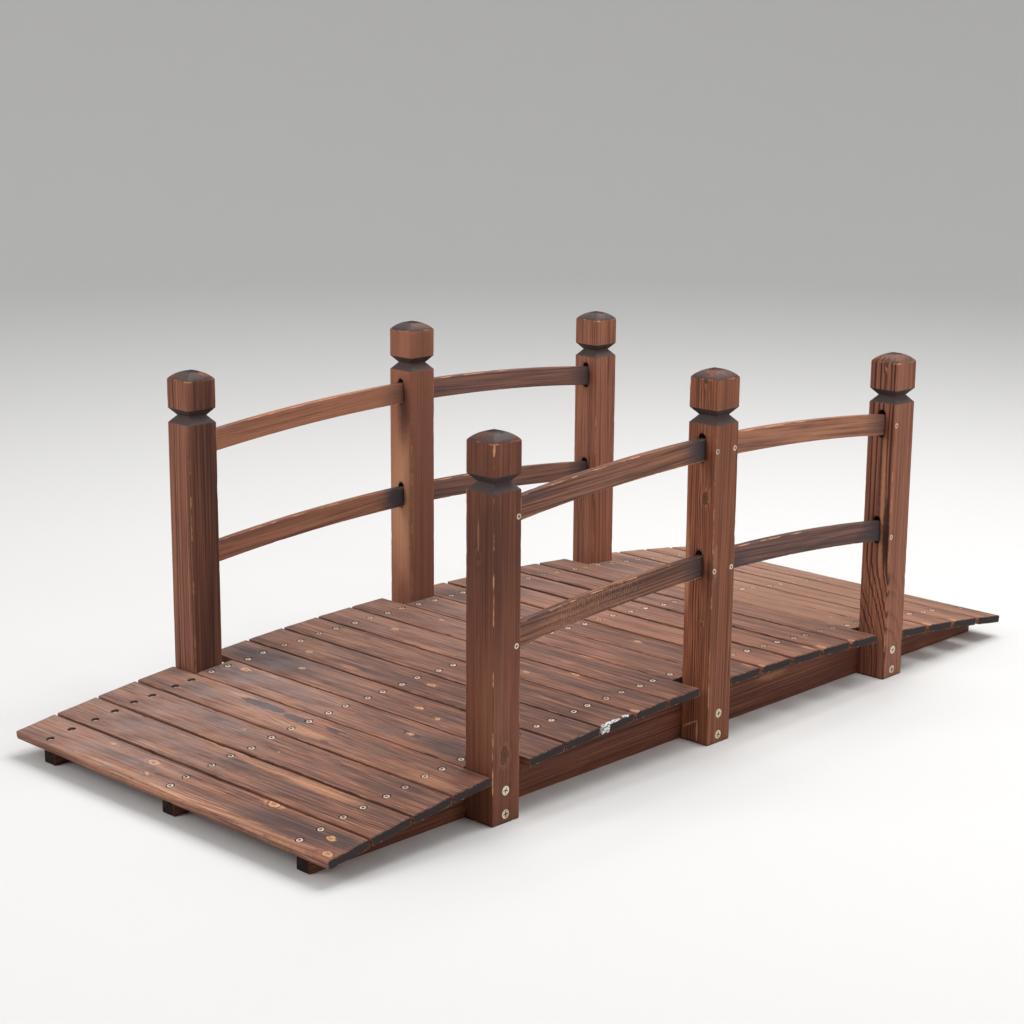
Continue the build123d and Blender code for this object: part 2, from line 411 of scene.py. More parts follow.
class Timber:
    """The material of one board.

    Board space has X along the grain and its origin in the board's middle. The scorched places,
    which also take painted shade, the charred and the bare places of a board are masks, to which
    each mark is added.
    """

    def __init__(self, name, middle, turn, size, heart, seed=0, arch=None, rise=0.0):
        """heart is where the log's heart lies from the board's middle, across it and through it.

        arch, for a board sawn to a curve, is its centre and middle radius in board space, and
        rise is the angle of its chord, which the grain follows.
        """
        chance = Random(seed)
        self.material, self.tree, self.shader = start_material(name)
        place = wire(self.tree, "TexCoord").outputs["Object"]
        self.board = wire(
            self.tree, "Mapping",
            {"Vector": place, "Location": middle, "Rotation": turn}, vector_type="TEXTURE",
        ).outputs[0]
        tilt = Vector((0.0, rise + chance.uniform(-0.02, 0.02), chance.uniform(-0.01, 0.01)))
        start = Vector((chance.uniform(-9, 9), -heart[0], -heart[1]))
        self.log = wire(
            self.tree, "Mapping",
            {"Vector": self.board, "Location": start, "Rotation": tilt},
        ).outputs[0]
        half = Vector(size) / 2
        straight = self.board
        if arch:
            below = move(self.tree, "SUBTRACT", self.board, arch[0])
            below = move(self.tree, "LENGTH", move(self.tree, "MULTIPLY", below, (1, 0, 1)))
            along, across, _ = split(self.tree, self.board)
            up = calc(self.tree, "SUBTRACT", below, arch[1])
            straight = wire(self.tree, "CombineXYZ", {0: along, 1: across, 2: up}).outputs[0]
        self.edges = place_group(self.tree, arris, {"Board": straight, "Half size": half})
        loose = wire(self.tree, "TexNoise", {"Vector": self.board, "Scale": 140.0, "Detail": 2.0})
        shift = move(self.tree, "SUBTRACT", loose.outputs["Color"], (0.5, 0.5, 0.5))
        self.ragged = move(self.tree, "MULTIPLY_ADD", shift, (0.016, 0.006, 0.006), self.board)
        self.uneven = move(self.tree, "MULTIPLY_ADD", shift, (0.003, 0.0025, 0.0), self.board)
        self.nearest = NO_KNOT
        self.scorch_and_shade = 0.0
        self.char = 0.0
        self.bare = 0.0
        self.sway = 0.0

    def add_knots(self, knots):
        """Adds knots, each with its place and its radius."""
        for place, radius in knots:
            self.nearest = place_group(self.tree, knot, {
                "Board": self.ragged, "Nearest": self.nearest, "Place": place, "Radius": radius,
            })["Nearest"]

    def add_patch(self, before, place, reach, strength, softness=0.5):
        """Adds a patch; a thin one runs straight, the others have ragged outlines."""
        board = self.board if min(reach) < THIN_PATCH else self.ragged
        return place_group(self.tree, patch, {
            "Board": board, "Before": before, "Place": place, "Reach": reach,
            "Strength": strength, "Softness": softness,
        })["Patches"]

    def add_strokes(self, before, *strokes):
        """Adds thin lines, each from its start to its end, so wide and so strong."""
        for start, end, width, strength in strokes:
            before = place_group(self.tree, stroke, {
                "Board": self.uneven, "Before": before, "Start": start,
                "Run": Vector(end) - Vector(start), "Width": width, "Strength": strength,
            })["Strokes"]
        return before

    def add_scorch_and_shade(self, *patches):
        """Adds patches that fire left dark, and patches of painted shade."""
        for values in patches:
            self.scorch_and_shade = self.add_patch(self.scorch_and_shade, *values)

    def add_char(self, *patches):
        """Adds patches burnt to slate."""
        for values in patches:
            self.char = self.add_patch(self.char, *values)

    def add_bare(self, *patches):
        """Adds patches where the stain is rubbed off."""
        for values in patches:
            self.bare = self.add_patch(self.bare, *values)

    def stain(self, **values):
        """Sets the stained wood in, with this board's own values by their labels."""
        inputs = {
            "Board": self.board,
            "Log": self.log,
            "Nearest knot": self.nearest,
            "Edge": self.edges["Edge"],
            "End": self.edges["End"],
            "Inside": self.edges["Inside"],
            "Scorch and shade": self.scorch_and_shade,
            "Char": self.char,
            "Bare": self.bare,
            "Sway": self.sway,
        }
        inputs.update({label.replace("_", " ").capitalize(): v for label, v in values.items()})
        made = place_group(self.tree, scorched_stain, inputs)
        self.colour, self.roughness, self.relief = made["Colour"], made["Roughness"], made["Relief"]

    def finish(self, depth, sheen=0.15):
        """Joins the colour, gloss and relief to the shader; depth is the height of the relief."""
        bump = wire(self.tree, "Bump", {"Height": self.relief, "Distance": depth, "Strength": 0.8})
        for label, value in (
            ("Base Color", self.colour),
            ("Roughness", self.roughness),
            ("Normal", bump.outputs[0]),
        ):
            self.tree.links.new(value, self.shader.inputs[label])
        self.shader.inputs["Specular IOR Level"].default_value = sheen
        return self.material


def middle_and_size(node):
    """The middle of a CAD node's box, and how long the box is each way."""
    low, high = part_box(node)
    return (low + high) / 2, high - low


# Points round each arris of a board, and rings of points over each of its eased ends.
ARRIS_POINTS = 4
END_RINGS = 4


def section(width, height, rounding, across, up):
    """Points round the section of a board, the way each one faces, and 1 for those on an arris."""
    points, facing, arrises = [], [], []
    for corner, (side, top) in enumerate(((1, 1), (-1, 1), (-1, -1), (1, -1))):
        centre = np.array([side * (width / 2 - rounding), top * (height / 2 - rounding)])
        for step in range(ARRIS_POINTS):
            angle = (corner + step / (ARRIS_POINTS - 1)) * pi / 2
            facing.append((cos(angle), sin(angle)))
            points.append(centre + rounding * np.array(facing[-1]))
            arrises.append(1.0)
        flat = np.array(((-1, 0), (0, -1), (1, 0), (0, 1))[corner])
        run = (width if corner % 2 == 0 else height) - 2 * rounding
        parts = across if corner % 2 == 0 else up
        start = points[-1]
        for part in range(1, parts):
            points.append(start + flat * run * part / parts)
            facing.append(facing[-1])
            arrises.append(0.0)
    return np.array(points), np.array(facing), np.array(arrises)


def stations(length, step, rounding):
    """Places along a board from 0 to its length, close together where its ends are eased."""
    eased = rounding * (1 - np.cos(np.linspace(0, pi / 2, END_RINGS)))
    count = max(2, round(length / step))
    between = np.linspace(0, length, count + 1)[1:-1]
    return np.concatenate([eased, between, length - eased[::-1]])


def easing(places, length, rounding):
    """How far a board's section draws in near its two ends."""
    left = np.minimum(places, length - places)
    short = np.clip(rounding - left, 0, rounding)
    return rounding - np.sqrt(rounding**2 - short**2)


# How much wood is worn off an arris and off a face, and how deep a nick goes.
ARRIS_WEAR = 0.00022
FACE_WEAR = 0.00012
NICK = 0.0009


def wear(points, arrises, seed):
    """How much wood is gone at each point: most at the arrises, with a nick here and there."""
    lost = []
    for point, arris_share in zip(points, arrises):
        place = Vector(point) + Vector((seed * 3.7, seed * 1.3, 0))
        slow = noise.noise(place * 11) * 0.5 + 0.5
        quick = noise.noise(place * 70)
        nicked = max(0.0, quick - 0.35) * NICK * 2
        lost.append(arris_share * (ARRIS_WEAR * (0.3 + slow) + nicked) + FACE_WEAR * slow)
    return np.array(lost)


def skin(name, rings, material):
    """A closed piece over rings of points that follow each other along the board."""
    number = np.arange(rings.shape[0] * rings.shape[1]).reshape(rings.shape[:2])
    after = np.roll(number, -1, axis=1)
    walls = np.stack([number[:-1], after[:-1], after[1:], number[1:]], axis=-1)
    faces = walls.reshape(-1, 4).tolist() + [number[0][::-1].tolist(), number[-1].tolist()]
    mesh = bpy.data.meshes.new(name)
    mesh.from_pydata(rings.reshape(-1, 3).tolist(), [], faces)
    shape = bmesh.new()
    shape.from_mesh(mesh)
    bmesh.ops.recalc_face_normals(shape, faces=shape.faces)
    shape.to_mesh(mesh)
    shape.free()
    mesh.materials.append(material)
    return add_object(name, mesh)


def carve(piece, other, operation):
    """Cuts another shape out of a piece, or keeps only what lies in both, and removes the other."""
    cut = piece.modifiers.new("cut", "BOOLEAN")
    cut.operation = operation
    cut.solver = "MANIFOLD"
    cut.object = other
    ready = piece.evaluated_get(bpy.context.evaluated_depsgraph_get())
    mesh = bpy.data.meshes.new_from_object(ready)
    piece.modifiers.clear()
    old = piece.data
    piece.data = mesh
    bpy.data.meshes.remove(old)
    bpy.data.meshes.remove(other.data)


SHARP_ANGLE = radians(33)  # edges that turn more than this stay sharp


def stand_for(piece, node):
    """Finishes a piece and puts it in the place of its CAD node."""
    piece.data.shade_smooth()
    piece.data.set_sharp_from_angle(angle=SHARP_ANGLE)
    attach(piece, "root")
    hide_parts(node)


def board_on_edge(name, ends, middle_y, thickness, upper, lower, rounding, parts, material, seed):
    """A board on edge along X, between a lower and an upper edge that may be arches.

    parts is the length of its steps along X, and how many parts it has across and up.
    """
    length = ends[1] - ends[0]
    along = stations(length, parts[0], rounding)
    drawn_in = easing(along, length, rounding)
    rings = []
    for place, inset in zip(along, drawn_in):
        x = ends[0] + place
        top, foot = upper(x), lower(x)
        points, facing, arrises = section(thickness, top - foot, rounding, parts[1], parts[2])
        points = points - facing * inset
        solid = np.column_stack([
            np.full(len(points), x),
            middle_y + points[:, 0],
            (top + foot) / 2 + points[:, 1],
        ])
        lost = wear(solid, arrises, seed)
        solid[:, 1] -= facing[:, 0] * lost
        solid[:, 2] -= facing[:, 1] * lost
        rings.append(solid)
    return skin(name, np.array(rings), material)


# How high the relief of brushed grain stands, and that of the smoothest post.
RELIEF = 0.0004
SMOOTH_RELIEF = 0.00012

DECK_RADIUS = 5.0
PLANK_THICKNESS = 0.012
INSET = 0.0001  # how far the dressed faces lie inside the CAD part's
BEARER_RADIUS = DECK_RADIUS - PLANK_THICKNESS - INSET
BEARER_ROUNDING = 0.0015

for number, side in enumerate(("right", "middle", "left")):
    node = "bearer_" + side
    low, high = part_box(node)
    crest = high.z - BEARER_RADIUS
    middle, size = middle_and_size(node)
    wood = Timber(node + "_wood", middle, (0, 0, 0), size, (0.02, 0.045), seed=number)
    scuff = Vector((0.185, -size.y / 2, 0.047 - middle.z))
    wood.add_bare((scuff, Vector((0.05, 0.01, 0.008)), 0.6, 0.8))
    wood.stain(
        tone=0.40, grain=0.3, ring_width=0.005, fibre=0.7, streaks=0.2, specks=0.18, mottle=0.35,
        brushed=0.12, rub=0.3, end_burn=0.45,
    )
    piece = board_on_edge(
        "bearer_board_" + side, (low.x, high.x), middle.y, size.y,
        lambda x: crest + sqrt(BEARER_RADIUS**2 - x**2), lambda x: INSET,
        BEARER_ROUNDING, (0.012, 4, 6), wood.finish(RELIEF), number,
    )
    stand_for(piece, node)


# Deck
# Twenty-one planks lie square across the bearers with narrow gaps between them. Three are short
# and fit between a pair of posts. Each is a planed board with rounded long edges and sawn ends.

PLANK_WIDTH = 0.067
PLANK_ROUNDING = 0.0015
PLANK_END_ROUNDING = 0.0007
PLANK_STEP = 0.006
PLANKS = [f"deck_plank_{number:02d}" for number in range(1, 22)]

# The screws lie in three rows along the bridge. At its near end those on the left sit deep.
SCREW_ROWS = (-0.259, 0.003, 0.265)
SCREW_ACROSS = 0.0165
DEEP_SINK = 0.0034
LAST_DEEP_PLANK = 4
DECK_PIT = (0.0068, 0.0045)  # radius and depth


def plank_frame(node):
    """Turns a plank's own places, with X along its grain and Z up through it, into the bridge's."""
    middle = middle_and_size(node)[0]
    tilt = Matrix.Rotation(atan2(middle.x, DECK_RADIUS), 4, "Y")
    return Matrix.Translation(middle) @ tilt @ Matrix.Rotation(pi / 2, 4, "Z")


def plank_rings(length, seed):
    """A plank's surface in its own space, worn, slightly bowed and slightly cupped."""
    chance = Random(seed)
    bow = chance.uniform(-0.0007, 0.0007)
    cup = chance.uniform(0.0, 0.0004)
    skew = chance.uniform(-0.0005, 0.0005)
    along = stations(length, PLANK_STEP, PLANK_END_ROUNDING)
    drawn_in = easing(along, length, PLANK_END_ROUNDING)
    points, facing, arrises = section(PLANK_WIDTH, PLANK_THICKNESS, PLANK_ROUNDING, across=12, up=3)
    rings = []
    for place, inset in zip(along, drawn_in):
        x = place - length / 2
        ring = points - facing * inset
        solid = np.column_stack([np.full(len(ring), x), ring[:, 0], ring[:, 1]])
        lost = wear(solid, arrises, seed)
        solid[:, 1:] -= facing * lost[:, None]
        share = 1 - (2 * x / length) ** 2
        edge_share = np.abs(ring[:, 0]) / (PLANK_WIDTH / 2)
        bowed = abs(bow) * (share if bow > 0 else 1 - share)
        solid[:, 1] -= np.sign(ring[:, 0]) * edge_share * bowed
        solid[:, 2] -= cup * (1 - edge_share**2) * (ring[:, 1] > 0)
        sawn = 0.0004 + abs(skew) + skew * ring[:, 0] / (PLANK_WIDTH / 2)
        solid[:, 0] -= np.sign(x) * sawn * (2 * abs(x) / length)
        rings.append(solid)
    return np.array(rings)


def screw_spots(number):
    """Where the six screws of a plank go through it, in its own space, and how deep they sit."""
    chance = Random(500 + number)
    spots = []
    for row in SCREW_ROWS:
        for across in (-SCREW_ACROSS, SCREW_ACROSS):
            along = row + chance.uniform(-0.0025, 0.0025)
            sink = chance.uniform(0.0003, 0.0009)
            if row == SCREW_ROWS[-1] and number <= LAST_DEEP_PLANK:
                sink = DEEP_SINK
            spots.append((along, across + chance.uniform(-0.003, 0.003), sink))
    return spots


def pit_cutter(spots, radius, depth):
    """Cones for the pits of countersunk screws: each spot is a place and the way it faces."""
    shape = bmesh.new()
    for place, facing in spots:
        turn = Vector(facing).to_track_quat("Z", "Y").to_matrix().to_4x4()
        sunk = Matrix.Translation((0, 0, -depth * 0.3))
        bmesh.ops.create_cone(
            shape, cap_ends=True, segments=18, radius1=radius * 0.45, radius2=radius * 1.18,
            depth=depth * 1.4, matrix=Matrix.Translation(place) @ turn @ sunk,
        )
    mesh = bpy.data.meshes.new("pits")
    shape.to_mesh(mesh)
    shape.free()
    return add_object("pits", mesh)


DECK_WOOD = {
    "light_wood": (0.295, 0.122, 0.072, 1.0),
    "dark_wood": (0.085, 0.034, 0.024, 1.0),
    "charred": (0.068, 0.043, 0.040, 1.0),
    "slate": (0.036, 0.030, 0.034, 1.0),
    # Charred plank ends darkened as painted shade, and the painted shade in the screw pits.
    "soot": (0.032, 0.023, 0.023, 1.0),
    "rubbed": (0.560, 0.265, 0.140, 1.0),
    "knot": (0.660, 0.340, 0.170, 1.0),
}
FAR_DECK_WOOD = {**DECK_WOOD, "light_wood": (0.302, 0.138, 0.080, 1.0)}
FIRST_FAR_PLANK = 17

# How deep the stain went into each plank: more is darker.
PLANK_TONES = (
    0.05, 0.15, 0.1, -0.05, 0.05, 0.25, 0.45, 0.38, 0.2, 0.15, 0.0,
    0.22, -0.3, 0.0, 0.1, 0.1, -0.5, -0.5, -0.38, -0.45, -0.3,
)

# Knots by plank: place along it toward the left side, place across it toward the far end, and
# radius, in millimetres from its middle.
PLANK_KNOTS = {
    1: ((172, 21, 4), (77, 16, 7), (60, -9, 4), (-157, 28, 7), (-287, 9, 6), (-315, -20, 6)),
    3: ((55, 13, 2), (-42, -7, 2)),
    5: ((-145, -1, 4), (230, 20, 6)),
    6: ((-85, 3, 5), (-135, -10, 4), (167, 5, 4)),
    7: ((-35, 4, 5), (213, -12, 5)),
    9: ((190, 3, 5), (-160, 30, 5), (-100, -10, 4)),
    10: ((173, 13, 4),),
    12: ((-120, 6, 4),),
    14: ((70, -14, 5),),
    17: ((-210, 8, 4),),
    19: ((150, -6, 5),),
}
# Marks by plank: place along, place across, reach along, reach across, strength.
PLANK_SCORCH = {
    1: ((-300, 10, 50, 24, 0.8), (120, 4, 60, 14, 0.4), (-220, 0, 130, 30, 0.8)),
    2: ((212, 10, 45, 16, 0.6), (-23, 4, 46, 18, 0.7), (-173, -4, 100, 12, 0.35)),
    3: ((105, 14, 60, 12, 0.8), (40, 8, 34, 14, 0.5), (-60, 16, 30, 9, 0.6), (-240, 0, 80, 14, 0.6)),
    4: ((235, 2, 40, 20, 0.6), (-150, 6, 90, 14, 0.4)),
    5: ((-110, -8, 60, 12, 0.5), (150, 10, 110, 14, 0.5), (240, 0, 90, 30, 0.8), (-250, 0, 120, 34, 0.8)),
    6: ((235, 0, 130, 34, 1.1), (20, -14, 60, 10, 0.4)),
    7: ((-120, 12, 90, 14, 0.4), (20, -8, 110, 20, 0.4)),
    9: ((-200, -6, 90, 14, 0.4),),
    10: ((-30, 8, 120, 14, 0.5),),
    11: ((90, 0, 120, 16, 0.5), (-160, 6, 90, 16, 0.5), (250, 0, 100, 34, 0.5)),
    12: ((220, 0, 120, 34, 0.8), (-170, 4, 90, 16, 0.4)),
    13: ((-60, -5, 90, 16, 0.4), (250, 0, 110, 34, 0.8)),
    14: ((250, 0, 100, 30, 0.4),),
    17: ((240, 0, 90, 30, 0.7),),
    18: ((240, 0, 100, 30, 0.8),),
}
PLANK_CHAR = {
    3: ((118, 16, 14, 3.5, 0.6),),
    4: ((100, 15, 48, 8, 1.0), (22, 11, 30, 7, 0.95), (-47, 13, 12, 4, 0.9)),
    5: ((-145, -1, 16, 5, 0.85),),
}
PLANK_BARE = {
    1: (
        (10, -22, 130, 10, 0.5), (-180, -25, 130, 7, 0.5), (172, 21, 14, 5, 1.2),
        (-157, 28, 26, 8, 1.3), (77, 16, 24, 7, 1.3), (60, -9, 8, 4, 0.9), (-287, 9, 10, 5, 0.9),
        (60, -34, 190, 4, 0.7), (-220, -34, 100, 4, 0.9),
    ),
    2: ((-70, 22, 80, 9, 0.8), (-180, 21, 110, 12, 0.9), (110, -20, 60, 8, 0.5), (20, 30, 60, 6, 0.7)),
    4: ((60, -10, 110, 14, 0.7), (-20, -12, 60, 12, 0.7), (158, 19, 30, 5, 0.7), (-280, -20, 60, 14, 0.5)),
    5: ((-240, -10, 80, 12, 0.4), (230, 19, 20, 7, 1.3)),
    6: ((-85, 3, 10, 5, 1.1), (-135, -10, 8, 4, 1.0), (167, 5, 10, 4, 0.9)),
    7: ((113, -20, 30, 6, 0.9), (240, 0, 110, 30, 0.4)),
    8: ((10, 4, 170, 26, 0.15), (240, 0, 110, 30, 0.4)),
    9: ((85, -29, 34, 4, 1.0), (-325, -29, 12, 8, 1.2)),
    10: ((-116, 30, 20, 4, 1.0),),
    12: ((-310, 28, 14, 5, 0.8),),
    13: ((-325, -30, 8, 6, 1.0),),
    14: ((-310, 26, 16, 6, 0.8),),
    15: ((-322, -29, 16, 8, 1.2),),
    16: ((-325, -30, 9, 7, 1.1),),
    18: ((-300, 22, 24, 10, 0.7),),
    19: ((-324, -29, 14, 8, 1.2),),
    20: ((-325, -29, 12, 8, 1.1),),
}
# Thin lines by plank: from along and across, to along and across, width, strength.
PLANK_LIGHT_LINES = {
    1: (
        (200, -24, 60, -20, 3.0, 0.9), (31, -25, -63, -30, 3.4, 1.1), (-63, -30, -140, -25, 3.0, 1.0),
        (-140, -25, -231, -6, 2.7, 0.8), (60, -29, -30, -25, 2.7, 0.9), (-30, -25, -120, -18, 2.7, 0.9),
        (250, -29, 130, -30, 3.0, 0.9), (20, -19, -100, -12, 2.5, 0.7), (-180, -27, -290, -20, 2.7, 0.8),
        (90, 14, -80, 12, 2.5, 0.5),
    ),
    2: ((40, 27, -70, 25, 3.0, 0.5), (150, -24, 60, -26, 2.5, 0.6)),
    3: ((64, 4, 40, 16, 2.1, 0.7), (68, 4, 55, 20, 2.1, 0.7), (72, 4, 70, 20, 2.1, 0.6)),
    4: (
        (110, 1, 20, -14, 2.3, 0.6), (100, -5, 0, -19, 2.3, 0.6), (60, 1, -40, -8, 2.3, 0.6),
        (160, 24, 110, 21, 2.7, 0.7), (20, 22, -60, 20, 2.5, 0.5),
    ),
    5: ((150, 24, 20, 21, 2.5, 0.5), (200, -14, 60, -16, 2.5, 0.5)),
    7: ((160, -22, 20, -20, 2.5, 0.5),),
    9: ((140, -28, 30, -26, 3.0, 0.8), (-120, 20, -260, 17, 2.5, 0.5)),
    11: ((200, 16, 40, 18, 2.7, 0.5),),
    13: ((120, -14, -60, -12, 2.7, 0.5),),
}
PLANK_DARK_LINES = {
    1: ((-190, 20, -300, 4, 2.7, 0.5), (110, -6, 20, -2, 2.5, 0.5)),
    2: ((8, -12, -36, 6, 3.8, 0.6), (-30, 12, -90, 4, 3.4, 0.6), (-60, -4, -130, -10, 3.4, 0.5)),
    3: (
        (190, 4, 178, 12, 4.2, 0.7), (178, 12, 150, 10, 3.4, 0.7), (152, 16, 140, 20, 3.8, 0.7),
        (134, 7, 112, 15, 4.2, 0.7), (112, 15, 84, 17, 3.4, 0.7), (104, 2, 84, -4, 3.4, 0.5),
        (66, 4, 46, 16, 2.1, 0.7), (70, 4, 62, 20, 2.1, 0.7), (60, 2, 34, 12, 2.1, 0.7),
        (30, 12, -18, 2, 2.7, 0.6), (14, 18, -30, 12, 2.3, 0.5), (-10, 0, -44, -10, 2.7, 0.6),
    ),
    4: (
        (-30, 16, -74, 16, 3.0, 0.8), (-44, 10, -96, 6, 2.7, 0.7), (-66, 2, -110, -6, 2.5, 0.6),
        (104, -2, 10, -17, 2.1, 0.5), (80, 3, -20, -12, 2.1, 0.5), (200, 10, 120, 4, 2.7, 0.4),
        (-60, -18, -75, -20, 5.7, 0.6),
    ),
    5: (
        (236, 22, 180, 27, 3.0, 0.5), (150, 6, 90, 8, 3.8, 0.6), (60, 16, 20, 12, 3.0, 0.6),
        (-30, 4, -66, 2, 4.2, 0.6), (210, -2, 120, -6, 2.5, 0.5),
    ),
    6: ((40, 10, -60, 8, 3.0, 0.4), (-150, -4, -220, -8, 3.0, 0.5)),
    7: ((190, 4, 100, 2, 3.0, 0.5), (-60, -12, -160, -10, 2.8, 0.5)),
    8: ((120, -10, 20, -12, 3.0, 0.4), (-120, 14, -220, 12, 3.0, 0.5)),
    9: ((10, 8, -80, 6, 3.0, 0.5),),
    10: ((60, -6, -40, -4, 3.0, 0.5), (-190, 10, -260, 8, 3.4, 0.5)),
    12: ((20, 6, -80, 8, 3.4, 0.5),),
    15: ((60, 4, -60, 2, 3.4, 0.5),),
    18: ((-80, 4, -190, 2, 3.4, 0.5),),
}
# Grey of dust, which also serves as a painted sheen on the deck.
DUST_AND_SHEEN = (0.47, 0.38, 0.355, 1.0)
WHITE_PAINT = (0.70, 0.70, 0.68, 1.0)


def on_plank(along, across):
    """A place on top of a plank, in its own space, from its place in the tables."""
    return Vector((along / 1000, -across / 1000, PLANK_THICKNESS / 2))


def marks(table, number):
    """The patches of one plank; the charred ones have crisp outlines."""
    softness = 0.2 if table is PLANK_CHAR else 0.7
    return [
        (on_plank(along, across), Vector((reach_along, reach_across, 8)) / 1000, strength, softness)
        for along, across, reach_along, reach_across, strength in table.get(number, ())
    ]


def lines(table, number):
    """The thin lines of one plank."""
    return [
        (on_plank(x0, y0), on_plank(x1, y1), width / 1000, strength)
        for x0, y0, x1, y1, width, strength in table.get(number, ())
    ]


def dust_and_sheen(wood, thickest):
    """A thin layer of dry dust on whatever looks up, with a painted sheen in it: more of it toward the
    left side.
    """
    tree = wood.tree
    facing = split(tree, wire(tree, "TexCoord").outputs["Normal"])[2]
    # Painted sheen: the grey veil grows toward the left side.
    leftward = fade(tree, split(tree, wood.board)[0], -0.30, 0.30)
    most = calc(tree, "MULTIPLY_ADD", leftward, thickest, 0.03)
    lies = fade(tree, blotches(tree, wood.board, (16, 60, 60), 3.0, 0.6), 0.3, 0.7)
    lies = calc(tree, "MULTIPLY", calc(tree, "MULTIPLY_ADD", lies, 0.7, 0.3), most)
    lies = calc(tree, "MULTIPLY", lies, fade(tree, facing, 0.6, 0.95))
    clear = fade(tree, wood.edges["Inside"], 0.0009, 0.0004)
    wood.colour = coat(tree, calc(tree, "MULTIPLY", lies, clear), wood.colour, DUST_AND_SHEEN)


def dust_and_sheen_thickness(number):
    """How thickly dust and painted sheen cover a plank toward its left end, where 1 hides the wood."""
    if number < 6:
        return 0.33
    return 0.12 if number in (7, 8) else 0.18


# Where white paint flakes off the right end of plank 8: place and reach.
PAINTED_PLANK = 8
PAINT_PATCHES = (
    ((-0.327, 0.026, 0.000), (0.005, 0.009, 0.0080)),
    ((-0.327, 0.010, 0.006), (0.004, 0.016, 0.0020)),
    ((-0.327, -0.019, 0.006), (0.004, 0.006, 0.0026)),
)


def flaking_paint(wood):
    """Lays what is left of the white paint over a plank's wood."""
    tree = wood.tree
    chips = 0.0
    for place, reach in PAINT_PATCHES:
        chips = wood.add_patch(chips, Vector(place), Vector(reach), 1.0, 0.1)
    flaked = fade(tree, blotches(tree, wood.board, (300, 150, 450), 2.0), 0.38, 0.48)
    wood.colour = coat(tree, calc(tree, "MULTIPLY", chips, flaked), wood.colour, WHITE_PAINT)


deck_screws = []
for number, node in enumerate(PLANKS, start=1):
    own = plank_frame(node)
    middle, size = middle_and_size(node)
    chance = Random(number)
    heart = (chance.uniform(-0.03, 0.03), -chance.uniform(0.02, 0.07))
    lying = Vector((size.y, PLANK_WIDTH, PLANK_THICKNESS))
    wood = Timber(node + "_wood", middle, own.to_euler(), lying, heart, seed=100 + number)
    wood.add_knots([
        (on_plank(along, across), radius / 1000)
        for along, across, radius in PLANK_KNOTS.get(number, ())
    ])
    wood.add_scorch_and_shade(*marks(PLANK_SCORCH, number))
    wood.add_char(*marks(PLANK_CHAR, number))
    wood.add_bare(*marks(PLANK_BARE, number))
    wood.bare = wood.add_strokes(wood.bare, *lines(PLANK_LIGHT_LINES, number))
    wood.scorch_and_shade = wood.add_strokes(wood.scorch_and_shade, *lines(PLANK_DARK_LINES, number))
    wood.stain(
        tone=PLANK_TONES[number - 1], ring_width=chance.uniform(0.0024, 0.0038), grain=0.5,
        weave=(4.0, 420, 420), mottle=0.5, fibre=1.7, streaks=0.25, specks=0.9, rub=0.6,
        **(DECK_WOOD if number < FIRST_FAR_PLANK else FAR_DECK_WOOD),
    )
    dust_and_sheen(wood, dust_and_sheen_thickness(number))
    if number == PAINTED_PLANK:
        flaking_paint(wood)
    rings = [[own @ Vector(point) for point in ring] for ring in plank_rings(size.y, number)]
    piece = skin("plank_" + node[-2:], np.array(rings), wood.finish(RELIEF, 0.28))
    up = own.to_3x3() @ Vector((0, 0, 1))
    pits = []
    for along, across, sink in screw_spots(number):
        pits.append((own @ Vector((along, across, PLANK_THICKNESS / 2)), up))
        deck_screws.append((own @ Vector((along, across, PLANK_THICKNESS / 2 - sink)), up))
    carve(piece, pit_cutter(pits, *DECK_PIT), "DIFFERENCE")
    stand_for(piece, node)


# Posts
# Six square posts, shaped near the top: a hipped dome over a plain head, then a groove sawn round
# the neck and burnt black. Each stands beside an outer bearer, screwed to it through its foot, and
# has a slot for the end of every rail.

POST_SIZE = 0.05
DOME_RADIUS = 0.03125
DOME_RISE = 0.0125
HEAD_HEIGHT = 0.042
GROOVE_HEIGHT = 0.0215
GROOVE_DEPTH = 0.0096
POST_ROUNDING = 0.0011
FOOT_ROUNDING = 0.001
LIP = GROOVE_HEIGHT / 2  # how far the groove reaches up and down from the middle of the neck


def post_levels(top):
    """Where the dome starts and where the middle of the neck is, from where the top is."""
    eaves = top - DOME_RISE
    return eaves, eaves - HEAD_HEIGHT - LIP


def post_half_width(z, height):
    """Half the width of a post at a height: trunk, grooved neck, head and dome."""
    eaves, neck = post_levels(height)
    groove = POST_SIZE / 2 - GROOVE_DEPTH * max(0.0, 1 - abs(z - neck) / LIP)
    over = z - (height - DOME_RADIUS)
    dome = sqrt(max(DOME_RADIUS**2 - over**2, 0.0)) if z > eaves - 0.004 else 1.0
    return min(groove, dome, POST_SIZE / 2)


